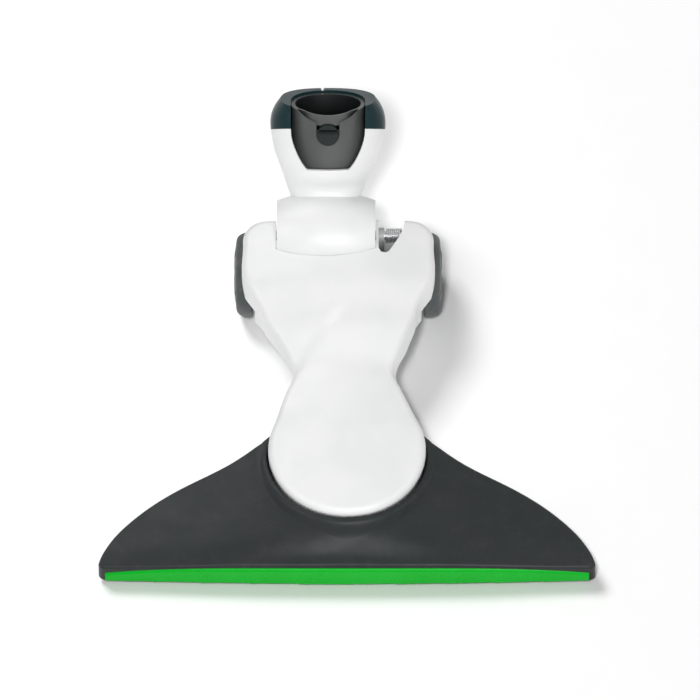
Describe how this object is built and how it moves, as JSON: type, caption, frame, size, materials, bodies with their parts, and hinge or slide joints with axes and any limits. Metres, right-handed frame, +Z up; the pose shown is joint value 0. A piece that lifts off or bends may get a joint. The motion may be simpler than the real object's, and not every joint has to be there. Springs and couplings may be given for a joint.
{
  "type": "vacuum cleaner floor head",
  "caption": "Floor head for an upright vacuum cleaner: swept wing base with a front strip, swivelling hourglass yoke on rear wheels, and a tilting neck with a tube socket.",
  "frame": {"origin": "middle of the footprint on the floor: the centre of the bounding box in X and Y, at its lowest point", "axes": "+Z up, +Y from the front strip back towards the tube socket, +X along the front strip, to the right for somebody who faces +Y"},
  "size_m": [0.2988, 0.3041, 0.1181],
  "materials": {
    "charcoal_shell": "satin charcoal moulding",
    "charcoal_sole": "fine-grained black moulding",
    "green_strip": "glossy green moulding",
    "bristles": "dense nylon pile",
    "bearing_plastic": "natural acetal",
    "seal_rubber": "soft black rubber",
    "steel": "bright steel",
    "felt": "pressed grey felt",
    "roller_plastic": "mid-grey moulding",
    "white_shell": "smooth white moulding",
    "grey_plastic": "light grey moulding",
    "wheel_rubber": "dark grey soft tread",
    "wheel_plastic": "dark grey moulding",
    "hood_dark": "smooth blue-black moulding",
    "socket_grey": "dark grey moulding",
    "latch_dark": "near-black moulding"
  },
  "bodies": {
    "base": {"base_cover": "charcoal_shell", "sole_plate": "charcoal_sole", "front_bumper": "green_strip", "bristle_strip_front": "bristles", "bristle_strip_rear": "bristles", "channel_lid": "charcoal_sole", "swivel_bearing": "bearing_plastic", "swivel_seal": "seal_rubber", "roller_pins": "steel", "glide_pads": "felt", "base_screws": "steel"},
    "roller_left": {"roller_left": "roller_plastic"},
    "roller_right": {"roller_right": "roller_plastic"},
    "yoke": {"yoke_cover": "white_shell", "yoke_base": "white_shell", "yoke_duct": "grey_plastic", "yoke_screws": "steel", "swivel_spigot": "grey_plastic", "retaining_ring": "bearing_plastic", "hinge_pin_left": "steel", "hinge_pin_right": "steel", "hinge_barrel": "grey_plastic", "tilt_spring": "steel", "tilt_stop": "grey_plastic", "wheel_axle_left": "steel", "wheel_axle_right": "steel"},
    "wheel_left": {"wheel_tyre_left": "wheel_rubber", "wheel_hub_left": "wheel_plastic", "wheel_cap_left": "wheel_plastic"},
    "wheel_right": {"wheel_tyre_right": "wheel_rubber", "wheel_hub_right": "wheel_plastic", "wheel_cap_right": "wheel_plastic"},
    "neck": {"tilt_drum": "white_shell", "neck_front_shell": "white_shell", "neck_rear_shell": "white_shell", "neck_screws": "steel", "hood": "hood_dark", "socket": "socket_grey", "socket_seal": "seal_rubber", "neck_duct": "grey_plastic"},
    "latch": {"latch_button": "latch_dark", "latch_spring": "steel"}
  },
  "joints": [
    {"name": "swivel", "type": "hinge", "parent": "base", "child": "yoke", "pos_m": [0, -0.079, 0.023], "axis": [0, 0, 1], "range_deg": [-40, 40]},
    {"name": "roller_left_spin", "type": "hinge", "parent": "base", "child": "roller_left", "pos_m": [-0.104, -0.1155, 0.006], "axis": [1, 0, 0], "continuous": true},
    {"name": "roller_right_spin", "type": "hinge", "parent": "base", "child": "roller_right", "pos_m": [0.104, -0.1155, 0.006], "axis": [1, 0, 0], "continuous": true},
    {"name": "wheel_left_spin", "type": "hinge", "parent": "yoke", "child": "wheel_left", "pos_m": [-0.0629, 0.0615, 0.026], "axis": [1, 0, 0], "continuous": true},
    {"name": "wheel_right_spin", "type": "hinge", "parent": "yoke", "child": "wheel_right", "pos_m": [0.0521, 0.0615, 0.026], "axis": [1, 0, 0], "continuous": true},
    {"name": "tilt", "type": "hinge", "parent": "yoke", "child": "neck", "pos_m": [-0.0128, 0.0737, 0.05], "axis": [1, 0, 0], "range_deg": [-45, 36]},
    {"name": "latch_press", "type": "slide", "parent": "neck", "child": "latch", "axis": [0, 0.829, -0.5592], "range_m": [0, 0.002], "stiffness_N_per_m": 900, "springref_m": -0.001}
  ]
}
